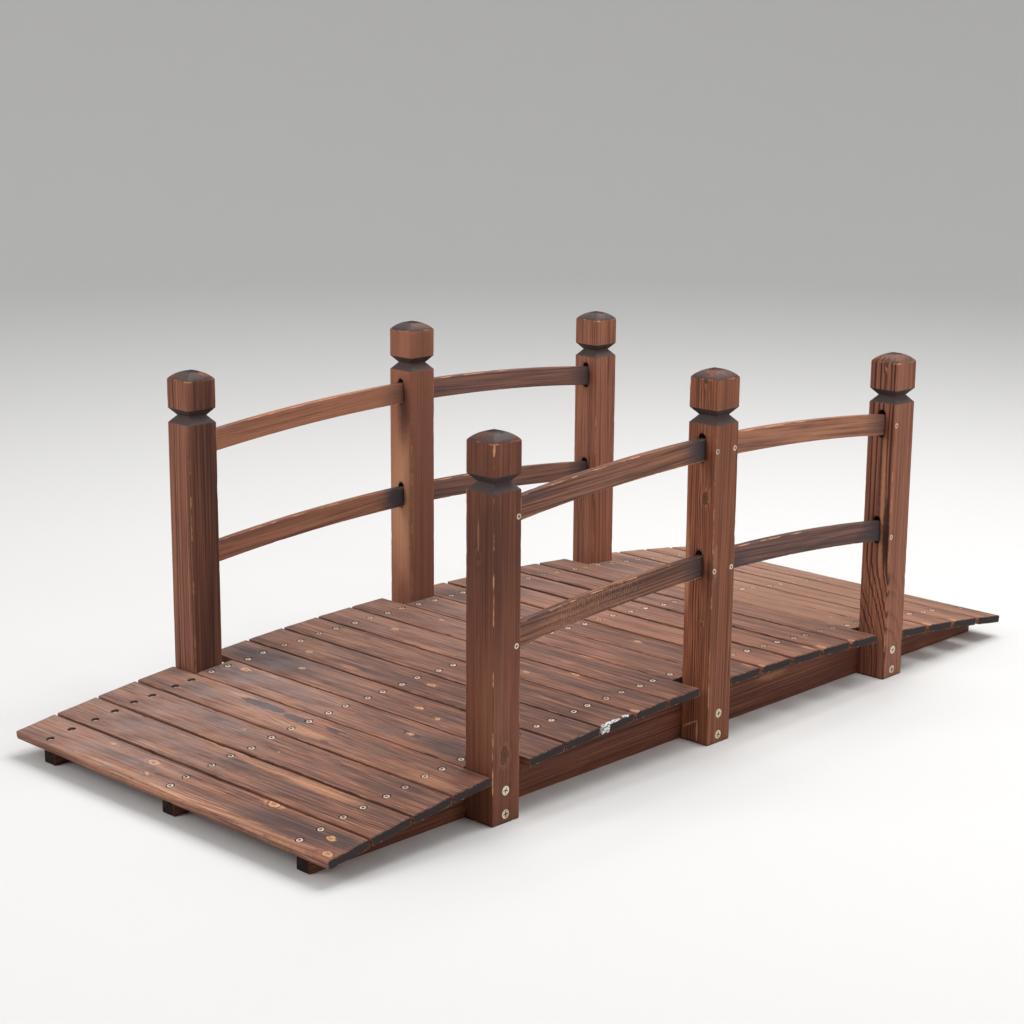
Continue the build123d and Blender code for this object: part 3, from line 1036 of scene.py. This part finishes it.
def post_rings(node, seed):
    """A post's surface, ring over ring, with the eaves of its dome rubbed and its foot eased."""
    middle, size = middle_and_size(node)
    height = size.z
    eaves, neck = post_levels(height)
    trunk = stations(neck - LIP, 0.008, FOOT_ROUNDING)[:-END_RINGS]
    trunk = np.append(trunk, (neck - LIP - 0.0006, neck - LIP))
    groove = np.append(neck + np.linspace(-0.85, 0.85, 9) * LIP, (neck + LIP, neck + LIP + 0.0006))
    head = np.linspace(neck + LIP + 0.004, eaves - 0.003, 7)
    rise = np.sqrt(DOME_RADIUS**2 - np.linspace(0.0247, 0.002, 9) ** 2) + height - DOME_RADIUS
    dome = np.concatenate([[eaves - 0.0008, eaves], rise])
    places = np.concatenate([trunk, groove, head, dome])
    drawn_in = easing(places, 2 * height, FOOT_ROUNDING)
    rings = []
    for z, inset in zip(places, drawn_in):
        half = post_half_width(z, height) - inset - INSET
        if abs(z - eaves) < 0.0001:
            half -= 0.0004
        rounding = min(POST_ROUNDING, half * 0.4)
        points, facing, arrises = section(2 * half, 2 * half, rounding, across=8, up=8)
        solid = np.column_stack([points, np.full(len(points), max(z, INSET))])
        lost = wear(solid, arrises, seed)
        solid[:, :2] -= facing * lost[:, None] * min(1.0, half / 0.02)
        solid[:, 0] += middle.x
        solid[:, 1] += middle.y
        rings.append(solid)
    return np.array(rings)


def on_near_face(height, y, z):
    """A place on the face that looks to the near end, in the post's own space."""
    return Vector((z - height / 2, y, POST_SIZE / 2))


def on_right_face(height, x, z):
    """A place on the face that looks to the right side, in the post's own space."""
    return Vector((z - height / 2, -POST_SIZE / 2, -x))


# Per post: where the log's heart lies, ring width, tone, strength of the grain, how far the rings
# wander, strength of the fibres, and how far its dome is singed.
POST_LOGS = {
    "post_near_right": ((0.050, -0.055), 0.0026, 0.44, 0.1, 0.006, 0.45, 0.25),
    "post_near_left": ((0.050, -0.050), 0.0034, 0.02, 0.8, 0.004, 0.9, 0.55),
    "post_middle_right": ((0.075, 0.004), 0.0050, -0.12, 1.3, 0.016, 1.6, 0.45),
    "post_middle_left": ((-0.040, 0.060), 0.0040, -0.50, 0.35, 0.008, 1.0, 0.75),
    "post_far_right": ((0.052, 0.012), 0.0085, -0.03, 1.5, 0.014, 1.2, 0.2),
    "post_far_left": ((0.060, -0.020), 0.0040, -0.10, 0.35, 0.006, 1.4, 0.7),
}
POST_WOOD = {
    "light_wood": (0.350, 0.122, 0.062, 1.0),
    "dark_wood": (0.080, 0.027, 0.018, 1.0),
    # The charred colour also paints the shade over whole post faces.
    "charred": (0.048, 0.024, 0.020, 1.0),
}
PALE_POST_WOOD = {**POST_WOOD, "light_wood": (0.345, 0.135, 0.079, 1.0)}


def mark_post(wood, node, height):
    """Adds the knots, burns, rubbed places and scratches that one post has of its own, and painted shade
    over some of its faces.
    """
    head_top = height - DOME_RISE
    # The foot of the arris between its right and its near face.
    arris_foot = Vector((-height / 2, -POST_SIZE / 2, POST_SIZE / 2))
    if node == "post_near_right":
        wood.add_knots([
            (on_near_face(height, 0.0034, 0.355), 0.0036),
            (on_right_face(height, -0.003, 0.093), 0.0068),
        ])
        wood.add_bare(
            (on_near_face(height, 0.0026, 0.381), Vector((0.024, 0.0024, 0.01)), 0.6),
            (arris_foot + Vector((0.4925, 0, 0)), Vector((0.013, 0.0026, 0.0026)), 1.6, 0.4),
            (arris_foot + Vector((0.16, 0, 0)), Vector((0.11, 0.05, 0.05)), 0.2, 1.0),
        )
        wood.add_scorch_and_shade((arris_foot + Vector((0.37, 0, 0)), Vector((0.14, 0.06, 0.06)), 0.45, 1.0))
        wood.add_char((Vector((height / 2 - 0.006, -0.016, 0.0)), Vector((0.012, 0.012, 0.022)), 1.0))
    if node == "post_middle_right":
        wood.add_knots([
            (on_near_face(height, -0.008, 0.362), 0.005),
            (on_near_face(height, -0.008, 0.178), 0.0025),
            (on_near_face(height, -0.003, head_top - 0.003), 0.0032),
        ])
        wood.add_bare(
            (on_right_face(height, -0.018, 0.27), Vector((0.03, 0.01, 0.006)), 0.5),
            (on_near_face(height, 0.021, 0.26), Vector((0.08, 0.006, 0.006)), 0.7, 0.8),
        )
        # The L-shaped scratch at its foot.
        corner = on_near_face(height, -0.005, 0.034)
        wood.bare = wood.add_strokes(
            wood.bare,
            (on_near_face(height, 0.020, 0.020), corner, 0.0020, 1.8),
            (corner, on_near_face(height, -0.005, 0.004), 0.0020, 1.6),
        )
        wood.add_scorch_and_shade(
            (on_near_face(height, -0.021, 0.259), Vector((0.02, 0.008, 0.01)), 0.6),
            # Painted shade over the whole right face.
            (on_right_face(height, 0.0, 0.25), Vector((0.4, 0.012, 0.04)), 0.4),
        )
    if node == "post_far_right":
        wood.add_knots([(on_near_face(height, -0.004, head_top - 0.004), 0.003)])
        wood.add_scorch_and_shade(
            (on_near_face(height, -0.017, 0.236), Vector((0.062, 0.006, 0.006)), 0.85, 0.4),
            # Painted shade over much of the near face.
            (on_near_face(height, 0.01, 0.3), Vector((0.2, 0.02, 0.012)), 0.3, 1.0),
            # Painted shade over the whole right face.
            (on_right_face(height, 0.008, 0.25), Vector((0.4, 0.012, 0.03)), 0.15),
        )
        wood.add_bare((on_near_face(height, -0.008, 0.28), Vector((0.16, 0.009, 0.012)), 0.6, 1.0))
        # Its rings bend aside toward the foot, which gives the wavy grain there.
        place = on_near_face(height, 0.015, 0.02)
        bend = wood.add_patch(0.0, place, Vector((0.16, 0.12, 0.12)), 1.0, 1.0)
        wood.sway = calc(wood.tree, "MULTIPLY", bend, -0.042)
    if node == "post_near_left":
        # Painted shade over the whole right face.
        wood.add_scorch_and_shade((on_right_face(height, 0.0, 0.25), Vector((0.4, 0.012, 0.04)), 0.65))
    if node == "post_middle_left":
        wood.add_bare((on_near_face(height, 0.0, 0.25), Vector((0.16, 0.04, 0.012)), 0.85, 1.0))
        wood.add_scorch_and_shade(
            (on_near_face(height, -0.008, 0.40), Vector((0.08, 0.022, 0.012)), 0.7, 1.0),
            (on_near_face(height, -0.004, 0.10), Vector((0.05, 0.024, 0.012)), 0.35, 1.0),
            # Painted shade over the whole right face.
            (on_right_face(height, 0.0, 0.25), Vector((0.4, 0.012, 0.04)), 0.45),
        )


def burn_top(wood, height, singed):
    """Chars the groove of the neck, singes the dome in patches and rubs the eaves between."""
    tree = wood.tree
    eaves, neck = post_levels(height / 2)
    up = split(tree, wood.board)[0]
    stray = calc(tree, "SUBTRACT", split(tree, wood.ragged)[0], up)
    loose_up = calc(tree, "MULTIPLY_ADD", stray, 0.35, up)
    crisp_up = calc(tree, "MULTIPLY_ADD", stray, 0.105, up)
    from_neck = calc(tree, "ABSOLUTE", calc(tree, "SUBTRACT", crisp_up, neck))
    groove = calc(tree, "MULTIPLY", fade(tree, from_neck, LIP + 0.0004, LIP - 0.0006), 0.93)
    singe = fade(tree, blotches(tree, wood.log, (28, 28, 28)), 0.40, 0.62)
    singe = calc(tree, "MULTIPLY_ADD", singe, 0.5, singed)
    top = calc(tree, "MULTIPLY", fade(tree, loose_up, eaves - 0.001, eaves + 0.0015), singe)
    wood.char = calc(tree, "MAXIMUM", calc(tree, "MAXIMUM", groove, top), wood.char)
    from_eaves = calc(tree, "ABSOLUTE", calc(tree, "SUBTRACT", up, eaves))
    worn = fade(tree, blotches(tree, wood.board, (40, 40, 40)), 0.46, 0.58)
    worn = calc(tree, "MULTIPLY", fade(tree, from_eaves, 0.0014, 0.0006), worn)
    wood.bare = calc(tree, "MAXIMUM", worn, wood.bare)


def post_hollow_shade(wood, height):
    """How far inside the post a place is, for painted shade in its slots and pits but not on its head.

    The upper bevel of the groove, which faces down, counts as a little way inside, so it shows painted
    shade too.
    """
    tree = wood.tree
    neck = post_levels(height / 2)[1]
    up = split(tree, wood.board)[0]
    trunk = fade(tree, up, neck - LIP, neck - LIP - 0.002)
    inside = calc(tree, "MULTIPLY", wood.edges["Inside"], trunk)
    # Painted shade on the upper bevel of the groove, which faces down.
    from_below = fade(tree, up, neck - 0.0015, neck + 0.002)
    from_above = fade(tree, up, neck + LIP + 0.0004, neck + LIP - 0.0004)
    shaded_bevel = calc(tree, "MULTIPLY", from_below, from_above)
    return calc(tree, "MAXIMUM", inside, calc(tree, "MULTIPLY", shaded_bevel, 0.00105))


def post_wood(node, seed):
    """The material of one post."""
    middle, size = middle_and_size(node)
    heart, ring_width, tone, grain, wander, fibre, singed = POST_LOGS[node]
    lying = Vector((size.z, POST_SIZE, POST_SIZE))
    wood = Timber(node + "_wood", middle, (0, -pi / 2, 0), lying, heart, seed=seed)
    mark_post(wood, node, size.z)
    burn_top(wood, size.z, singed)
    if grain > 1:
        # Strong rings show on the near face alone.
        near_face = fade(wood.tree, split(wood.tree, wood.board)[2], 0.016, 0.0245)
        grain = calc(wood.tree, "MULTIPLY_ADD", near_face, grain - 0.3, 0.3)
    wood.stain(
        tone=tone, ring_width=ring_width, grain=grain, wander=wander, mottle=0.2, fibre=fibre,
        streaks=0.15, specks=fibre / 4, brushed=0.12, rub=1.6 if node == "post_near_right" else 1.0,
        weave=(3.0, 380, 380), inside=post_hollow_shade(wood, size.z),
        **(PALE_POST_WOOD if "left" in node or "far" in node else POST_WOOD),
    )
    return wood


def solid_copy(node):
    """A closed copy of a CAD node, to cut with."""
    shape = bmesh.new()
    shape.from_mesh(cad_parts[node].data)
    bmesh.ops.remove_doubles(shape, verts=shape.verts, dist=1e-6)
    mesh = bpy.data.meshes.new("solid")
    shape.to_mesh(mesh)
    shape.free()
    return add_object("solid", mesh)


# Where the screws of the rails go through each kind of post: along the bridge from its middle,
# and height.
RAIL_SCREWS = {
    "near": ((0.0204, 0.4037), (0.0182, 0.2343)),
    "middle": ((-0.0195, 0.4287), (0.0185, 0.4287), (-0.0195, 0.2572), (0.0185, 0.2572)),
    "far": ((-0.0197, 0.4057), (-0.0197, 0.2298)),
}
FOOT_SCREWS = (0.044, 0.012)
FOOT_PIT = (0.0076, 0.0035)  # radius and depth
RAIL_PIT = (0.0048, 0.003)
POST_SINK = 0.0006

foot_screws = []
rail_screws = []
seed = 40
for post in ("near", "middle", "far"):
    for side, outward in (("right", -1), ("left", 1)):
        seed += 1
        node = f"post_{post}_{side}"
        middle, size = middle_and_size(node)
        wood = post_wood(node, seed).finish(SMOOTH_RELIEF if node == "post_near_right" else RELIEF)
        piece = skin(node + "_worn", post_rings(node, seed), wood)
        carve(piece, solid_copy(node), "INTERSECT")
        face = middle.y + outward * POST_SIZE / 2
        facing = Vector((0, outward, 0))
        feet = [Vector((middle.x, face, z)) for z in FOOT_SCREWS]
        small = [Vector((middle.x + x, face, z)) for x, z in RAIL_SCREWS[post]]
        for places, pit, screws in ((feet, FOOT_PIT, foot_screws), (small, RAIL_PIT, rail_screws)):
            carve(piece, pit_cutter([(place, facing) for place in places], *pit), "DIFFERENCE")
            screws += [(place - facing * POST_SINK, facing) for place in places]
        stand_for(piece, node)


# Rails
# Two thin boards on edge in each bay of each side, sawn to a rounder arch than the deck's. Their
# ends sit in the slots of the posts, where a screw from outside holds them.

RAIL_RADIUS = 3.55
RAIL_HEIGHT = 0.032
RAIL_ROUNDING = 0.0011
RAIL_WOOD = {
    "light_wood": (0.370, 0.160, 0.095, 1.0),
    "dark_wood": (0.085, 0.036, 0.025, 1.0),
    "charred": (0.068, 0.058, 0.068, 1.0),
    "slate": (0.062, 0.052, 0.058, 1.0),
}
arch_x = middle_and_size("post_middle_right")[0].x

# Per rail: how deep the stain went in, how much grey smoke lies over all of it, and how far its
# near end and its far end are burnt.
RAIL_FINISH = {
    "upper_rail_near_right": (0.28, 0.1, 0.5, 0.95),
    "upper_rail_near_left": (-0.3, 0.0, 0.1, 0.45),
    "upper_rail_far_right": (-0.15, 0.0, 0.0, 0.6),
    "upper_rail_far_left": (-0.08, 0.48, 0.3, 0.75),
    "lower_rail_near_right": (0.42, 0.1, 0.2, 0.8),
    "lower_rail_near_left": (-0.05, 0.1, 0.2, 1.3),
    "lower_rail_far_right": (0.38, 0.5, 0.95, 0.95),
    "lower_rail_far_left": (-0.08, 0.48, 0.3, 0.95),
}

def burn_ends(wood, length, near_burn, far_burn):
    """Chars both ends of a rail, the far one from a ragged line on."""
    tree = wood.tree
    drift = blotches(tree, wood.board, (18, 30, 30))
    along = calc(tree, "MULTIPLY_ADD", drift, 0.06, split(tree, wood.board)[0])
    burnt = fade(tree, along, length / 2 - 0.055, length / 2 + 0.02)
    wood.char = calc(tree, "MULTIPLY", burnt, far_burn)
    near_end = Vector((0.03 - length / 2, 0, 0.008))
    wood.add_char((near_end, Vector((0.06, 0.03, 0.012)), near_burn, 1.0))


def saw_marks(wood):
    """Bares the ridges that a saw left across a rail, torn and uneven, round its middle."""
    tree = wood.tree
    inputs = {"Vector": wood.board, "Scale": 70.0, "Distortion": 3.0, "Detail": 1.0}
    ridges = wire(tree, "TexWave", inputs).outputs["Fac"]
    torn = fade(tree, blotches(tree, wood.board, (420, 60, 330), 0.0), 0.35, 0.6)
    blade = wood.add_patch(0.0, Vector((-0.03, 0, 0)), Vector((0.12, 0.1, 0.1)), 0.6, 0.6)
    wood.bare = calc(tree, "MULTIPLY", calc(tree, "MULTIPLY", ridges, torn), blade)


for node, (tone, smoke, near_burn, far_burn) in RAIL_FINISH.items():
    seed += 1
    low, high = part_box(node)
    middle, size = middle_and_size(node)
    nearest_x = min(abs(low.x - arch_x), abs(high.x - arch_x))
    centre = high.z - sqrt(RAIL_RADIUS**2 - nearest_x**2)
    arch = (Vector((arch_x - middle.x, 0, centre - middle.z)), RAIL_RADIUS - RAIL_HEIGHT / 2)
    wood = Timber(
        node + "_wood", middle, (0, 0, 0), (size.x, size.y, RAIL_HEIGHT), (0.02, 0.045),
        seed=seed, arch=arch, rise=atan2(arch_x - middle.x, RAIL_RADIUS),
    )
    wood.scorch_and_shade = smoke
    burn_ends(wood, size.x, near_burn, far_burn)
    if node == "lower_rail_near_right":
        saw_marks(wood)
    wood.stain(
        tone=tone, ring_width=0.004, grain=0.2, mottle=0.4, fibre=1.4, streaks=0.15, rub=1.6,
        weave=(5.0, 380, 380), inside=0.0, **RAIL_WOOD,
    )
    piece = board_on_edge(
        node + "_worn", (low.x, high.x), middle.y, size.y,
        lambda x: centre + sqrt(RAIL_RADIUS**2 - (x - arch_x) ** 2),
        lambda x: centre + sqrt((RAIL_RADIUS - RAIL_HEIGHT) ** 2 - (x - arch_x) ** 2),
        RAIL_ROUNDING, (0.007, 3, 8), wood.finish(RELIEF), seed,
    )
    stand_for(piece, node)


# Screws
# Zinc-plated countersunk screws with a cross recess: two at every bearer in each plank, one
# through a post at each end of a rail, and two bigger, yellower ones through each foot.

def build_screw_tree(material):
    """Sets a screw head at every point: a turned disc, tapered under its rim, with a cross cut in."""
    tree = bpy.data.node_groups.new("screw_heads", "GeometryNodeTree")
    tree.interface.new_socket("Geometry", in_out="INPUT", socket_type="NodeSocketGeometry")
    for label in ("Head radius", "Cross length", "Cross width", "Cross depth"):
        tree.interface.new_socket(label, in_out="INPUT", socket_type="NodeSocketFloat")
    tree.interface.new_socket("Geometry", in_out="OUTPUT", socket_type="NodeSocketGeometry")
    given = tree.nodes.new("NodeGroupInput").outputs
    result = tree.nodes.new("NodeGroupOutput").inputs

    def marked(shape, recess_shade):
        """Faces of the cut cross are marked for the painted shade of the recess."""
        inputs = {"Geometry": shape, "Name": "recess_shade", "Value": recess_shade}
        kind = "GeometryNodeStoreNamedAttribute"
        return wire(tree, kind, inputs, data_type="FLOAT", domain="FACE").outputs[0]

    disc = wire(tree, "GeometryNodeMeshCylinder", {
        "Vertices": 16, "Side Segments": 2, "Radius": given["Head radius"], "Depth": 0.002,
    })
    x, y, z = split(tree, wire(tree, "GeometryNodeInputPosition").outputs[0])
    top = calc(tree, "GREATER_THAN", z, 0.0005)
    foot = calc(tree, "LESS_THAN", z, -0.0005)
    squeeze = calc(tree, "MULTIPLY_ADD", top, -0.1, calc(tree, "MULTIPLY_ADD", foot, -0.45, 1.0))
    height = calc(tree, "MULTIPLY_ADD", foot, -0.002, -0.0003)
    shaped = wire(tree, "CombineXYZ", {
        0: calc(tree, "MULTIPLY", x, squeeze),
        1: calc(tree, "MULTIPLY", y, squeeze),
        2: calc(tree, "MULTIPLY_ADD", top, 0.0003, height),
    }).outputs[0]
    inputs = {"Geometry": disc.outputs["Mesh"], "Position": shaped}
    head = wire(tree, "GeometryNodeSetPosition", inputs).outputs[0]

    length, width = given["Cross length"], given["Cross width"]
    depth = calc(tree, "MULTIPLY", given["Cross depth"], 2.0)
    cut = wire(
        tree, "GeometryNodeMeshBoolean", {"Mesh 1": marked(head, 0.0)},
        operation="DIFFERENCE", solver="MANIFOLD",
    )
    for along, across in ((length, width), (width, length)):
        size = wire(tree, "CombineXYZ", {0: along, 1: across, 2: depth}).outputs[0]
        bar = wire(tree, "GeometryNodeMeshCube", {"Size": size}).outputs[0]
        inputs = {"Geometry": bar, "Translation": (0, 0, 0.0002)}
        arm = wire(tree, "GeometryNodeTransform", inputs).outputs[0]
        tree.links.new(marked(arm, 1.0), cut.inputs["Mesh 2"])

    kind = "GeometryNodeInputNamedAttribute"
    facing = wire(tree, kind, {"Name": "facing"}, data_type="FLOAT_VECTOR").outputs[0]
    turn = wire(tree, kind, {"Name": "turn"}, data_type="FLOAT").outputs[0]
    aimed = wire(tree, "FunctionNodeAlignRotationToVector", {"Vector": facing}, axis="Z").outputs[0]
    inputs = {"Axis": (0, 0, 1), "Angle": turn}
    about = wire(tree, "FunctionNodeAxisAngleToRotation", inputs).outputs[0]
    inputs = {"Rotation": aimed, "Rotate By": about}
    turned = wire(tree, "FunctionNodeRotateRotation", inputs, rotation_space="LOCAL").outputs[0]
    inputs = {"Points": given["Geometry"], "Instance": cut.outputs[0], "Rotation": turned}
    set_out = wire(tree, "GeometryNodeInstanceOnPoints", inputs).outputs[0]
    solid = wire(tree, "GeometryNodeRealizeInstances", {"Geometry": set_out}).outputs[0]
    coated = wire(tree, "GeometryNodeSetMaterial", {"Geometry": solid, "Material": material})
    tree.links.new(coated.outputs[0], result[0])
    return tree


# Painted shade that darkens the cross recesses.
RECESS_SHADE = (0.03, 0.02, 0.015, 1.0)


def zinc_plate(name, colour):
    """Zinc plate gone dull, with painted shade in the cross recesses."""
    material, tree, shader = start_material(name)
    place = wire(tree, "TexCoord").outputs["Object"]
    tarnish = blotches(tree, place, (420, 420, 420))
    dull = [channel * 0.5 for channel in colour[:3]] + [1.0]
    metal = coat(tree, fade(tree, tarnish, 0.5, 0.8), colour, dull)
    weathered = fade(tree, blotches(tree, place, (37, 37, 37)), 0.45, 0.6)
    metal = coat(tree, calc(tree, "MULTIPLY", weathered, 0.6), metal, dull)
    recess_shade = wire(tree, "Attribute", attribute_name="recess_shade").outputs["Fac"]
    metal = coat(tree, calc(tree, "MULTIPLY", recess_shade, 0.93), metal, RECESS_SHADE)
    tree.links.new(metal, shader.inputs["Base Color"])
    tree.links.new(calc(tree, "MULTIPLY_ADD", tarnish, 0.4, 0.2), shader.inputs["Roughness"])
    shader.inputs["Metallic"].default_value = 0.35
    return material


def drive_screws(name, spots, sizes, tree, seed, turns=(0, pi / 2)):
    """Makes one piece of all the screw heads of a kind."""
    chance = Random(seed)
    mesh = bpy.data.meshes.new(name)
    mesh.from_pydata([place for place, facing in spots], [], [])
    facing = mesh.attributes.new("facing", "FLOAT_VECTOR", "POINT")
    facing.data.foreach_set("vector", [axis for place, facing in spots for axis in facing])
    turn = mesh.attributes.new("turn", "FLOAT", "POINT")
    turn.data.foreach_set("value", [chance.uniform(*turns) for _ in spots])
    piece = add_object(name, mesh)
    heads = piece.modifiers.new("heads", "NODES")
    heads.node_group = tree
    for label, value in sizes.items():
        heads[tree.interface.items_tree[label].identifier] = value
    ready = piece.evaluated_get(bpy.context.evaluated_depsgraph_get())
    piece.data = bpy.data.meshes.new_from_object(ready)
    piece.modifiers.clear()
    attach(piece, "root")


CROSS = {"Cross length": 0.0045, "Cross width": 0.0015, "Cross depth": 0.0013}
DECK_HEAD = {**CROSS, "Head radius": 0.0044, "Cross length": 0.0046, "Cross width": 0.0018}
RAIL_HEAD = {**CROSS, "Head radius": 0.0041}
FOOT_HEAD = {**CROSS, "Head radius": 0.0068, "Cross length": 0.0080}
pale_zinc = build_screw_tree(zinc_plate("pale_zinc", (0.84, 0.66, 0.52, 1.0)))
yellow_zinc = build_screw_tree(zinc_plate("yellow_zinc", (0.80, 0.70, 0.50, 1.0)))
drive_screws("deck_screws", deck_screws, DECK_HEAD, pale_zinc, 1)
drive_screws("rail_screws", rail_screws, RAIL_HEAD, pale_zinc, 2)
drive_screws("foot_screws", foot_screws, FOOT_HEAD, yellow_zinc, 3, (-0.25, 0.2))


# Stage
# A pale floor that curves up into a wall all round, soft lights, and the camera where the
# photograph was taken from.

FLOOR_RADIUS = 5.0
WALL_CURVE = 3.0
WALL_TOP = 7.0
FLOOR_SIDES = 96
FLOOR_PAINT = (0.74, 0.73, 0.715, 1.0)


def make_floor():
    """A wide round floor whose rim turns up, seamless behind the bridge from every side."""
    outline = [(FLOOR_RADIUS, 0.0)]
    for angle in np.linspace(0.1, pi / 2, 12):
        outline.append((FLOOR_RADIUS + WALL_CURVE * sin(angle), WALL_CURVE * (1 - cos(angle))))
    outline.append((FLOOR_RADIUS + WALL_CURVE, WALL_TOP))
    points = [(0.0, 0.0, 0.0)]
    faces = []
    for radius, height in outline:
        for side in range(FLOOR_SIDES):
            angle = 2 * pi * side / FLOOR_SIDES
            points.append((radius * cos(angle), radius * sin(angle), height))
    for side in range(FLOOR_SIDES):
        after = (side + 1) % FLOOR_SIDES
        faces.append((0, 1 + side, 1 + after))
        for ring in range(len(outline) - 1):
            low = 1 + ring * FLOOR_SIDES
            high = low + FLOOR_SIDES
            faces.append((low + side, high + side, high + after, low + after))
    mesh = bpy.data.meshes.new("floor")
    mesh.from_pydata(points, [], faces)
    mesh.shade_smooth()
    material, _, shader = start_material("floor_paint")
    shader.inputs["Base Color"].default_value = FLOOR_PAINT
    shader.inputs["Roughness"].default_value = 0.9
    shader.inputs["Specular IOR Level"].default_value = 0.2
    mesh.materials.append(material)
    return add_object("floor", mesh)


make_floor()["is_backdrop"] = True


LIT_PLACE = Vector((0.0, 0.0, 0.2))


def add_softbox(name, place, width, power):
    """A square lamp that shines on the middle of the bridge."""
    light = bpy.data.lights.new(name, "AREA")
    light.shape = "SQUARE"
    light.size = width
    light.energy = power
    lamp = add_object(name, light)
    lamp.location = place
    lamp.rotation_euler = (LIT_PLACE - Vector(place)).to_track_quat("-Z", "Y").to_euler()
    lamp.visible_camera = False


add_softbox("overhead_light", (1.0, -0.2, 3.2), 2.4, 95)
add_softbox("left_light", (-3.6, 1.2, 2.2), 2.0, 52)
add_softbox("right_light", (0.6, -3.8, 2.2), 2.0, 34)

world = bpy.data.worlds.new("room")
world.use_nodes = True
sky = world.node_tree.nodes["Background"].inputs
sky["Color"].default_value = (0.95, 0.97, 1.0, 1.0)
sky["Strength"].default_value = 0.6
bpy.context.scene.world = world
bpy.context.scene.view_settings.view_transform = "Standard"

CAMERA_PLACE = Vector((-2.3102, -2.1311, 1.0322))
CAMERA_HEADING = radians(43.865)
CAMERA_DIP = radians(13.428)
CAMERA_ROLL = radians(0.427)
LENS = 75.16

lens = bpy.data.cameras.new("camera")
lens.lens = LENS
lens.sensor_width = 36.0
lens.clip_start = 0.05
lens.clip_end = 60.0
camera = add_object("camera", lens)
turned = Euler((pi / 2 - CAMERA_DIP, 0, CAMERA_HEADING - pi / 2)).to_matrix()
camera.rotation_euler = (turned @ Matrix.Rotation(CAMERA_ROLL, 3, "Z")).to_euler()
camera.location = CAMERA_PLACE
bpy.context.scene.camera = camera

low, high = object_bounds()
